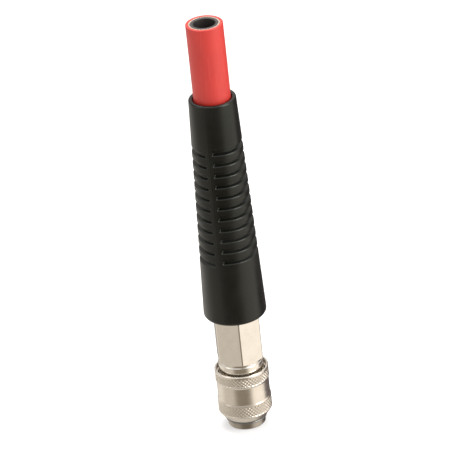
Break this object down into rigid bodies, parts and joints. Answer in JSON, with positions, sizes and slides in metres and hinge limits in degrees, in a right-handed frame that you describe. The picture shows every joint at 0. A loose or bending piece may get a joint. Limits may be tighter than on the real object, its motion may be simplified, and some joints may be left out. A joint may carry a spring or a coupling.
{
  "type": "quick disconnect coupler",
  "caption": "Air-line quick coupler socket with sliding locking sleeve and hexagonal adapter, on a hose end under a tapered rubber bend restrictor.",
  "frame": {"origin": "centre of the socket's mouth, on the coupler's axis", "axes": "+Z along the coupler's axis from the mouth towards the hose, +X through locking ball 1"},
  "size_m": [0.0274, 0.0274, 0.192],
  "materials": {
    "steel": "zinc plated",
    "ball_steel": "polished",
    "spring_steel": "drawn wire",
    "nickel_plate": "satin nickel plate",
    "sleeve_plate": "nickel plate",
    "brass": "turned",
    "seal_rubber": "moulded",
    "boot_rubber": "satin moulded",
    "hose_rubber": "smooth extruded"
  },
  "bodies": {
    "coupler_body": {"socket_body": "steel", "sleeve_stop_ring": "spring_steel", "sleeve_spring": "spring_steel", "plug_seal": "seal_rubber", "valve_seat": "brass", "valve_spring": "spring_steel", "valve_guide": "brass", "body_gasket": "seal_rubber", "hex_adapter": "nickel_plate", "thread_seal_washer": "brass", "hose_stem": "steel", "crimp_ferrule": "brass", "hose_tail": "hose_rubber", "bend_restrictor": "boot_rubber"},
    "sleeve_carriage": {"thrust_washer": "steel"},
    "sleeve": {"locking_sleeve": "sleeve_plate"},
    "valve": {"valve_poppet": "brass", "valve_face_seal": "seal_rubber"},
    "ball_1": {"locking_ball_1": "ball_steel"},
    "ball_2": {"locking_ball_2": "ball_steel"},
    "ball_3": {"locking_ball_3": "ball_steel"},
    "ball_4": {"locking_ball_4": "ball_steel"},
    "ball_5": {"locking_ball_5": "ball_steel"},
    "ball_6": {"locking_ball_6": "ball_steel"}
  },
  "joints": [
    {"name": "sleeve_slide", "type": "slide", "parent": "coupler_body", "child": "sleeve_carriage", "axis": [0, 0, 1], "range_m": [0, 0.004], "stiffness_N_per_m": 1500, "springref_m": -0.004, "deforming": ["sleeve_spring"]},
    {"name": "sleeve_spin", "type": "hinge", "parent": "sleeve_carriage", "child": "sleeve", "pos_m": [0, 0, 0.0133], "axis": [0, 0, 1], "continuous": true},
    {"name": "valve_slide", "type": "slide", "parent": "coupler_body", "child": "valve", "axis": [0, 0, 1], "range_m": [0, 0.005], "stiffness_N_per_m": 600, "springref_m": -0.004, "deforming": ["valve_spring"]},
    {"name": "ball_1_slide", "type": "slide", "parent": "coupler_body", "child": "ball_1", "axis": [1, 0, 0], "range_m": [0, 0.001]},
    {"name": "ball_2_slide", "type": "slide", "parent": "coupler_body", "child": "ball_2", "axis": [0.5, 0.866, 0], "range_m": [0, 0.001]},
    {"name": "ball_3_slide", "type": "slide", "parent": "coupler_body", "child": "ball_3", "axis": [-0.5, 0.866, 0], "range_m": [0, 0.001]},
    {"name": "ball_4_slide", "type": "slide", "parent": "coupler_body", "child": "ball_4", "axis": [-1, 0, 0], "range_m": [0, 0.001]},
    {"name": "ball_5_slide", "type": "slide", "parent": "coupler_body", "child": "ball_5", "axis": [-0.5, -0.866, 0], "range_m": [0, 0.001]},
    {"name": "ball_6_slide", "type": "slide", "parent": "coupler_body", "child": "ball_6", "axis": [0.5, -0.866, 0], "range_m": [0, 0.001]}
  ],
  "couplings": [
    {"joint": "ball_1_slide", "follows": "sleeve_slide", "ratio": 0.25},
    {"joint": "ball_2_slide", "follows": "sleeve_slide", "ratio": 0.25},
    {"joint": "ball_3_slide", "follows": "sleeve_slide", "ratio": 0.25},
    {"joint": "ball_4_slide", "follows": "sleeve_slide", "ratio": 0.25},
    {"joint": "ball_5_slide", "follows": "sleeve_slide", "ratio": 0.25},
    {"joint": "ball_6_slide", "follows": "sleeve_slide", "ratio": 0.25}
  ]
}
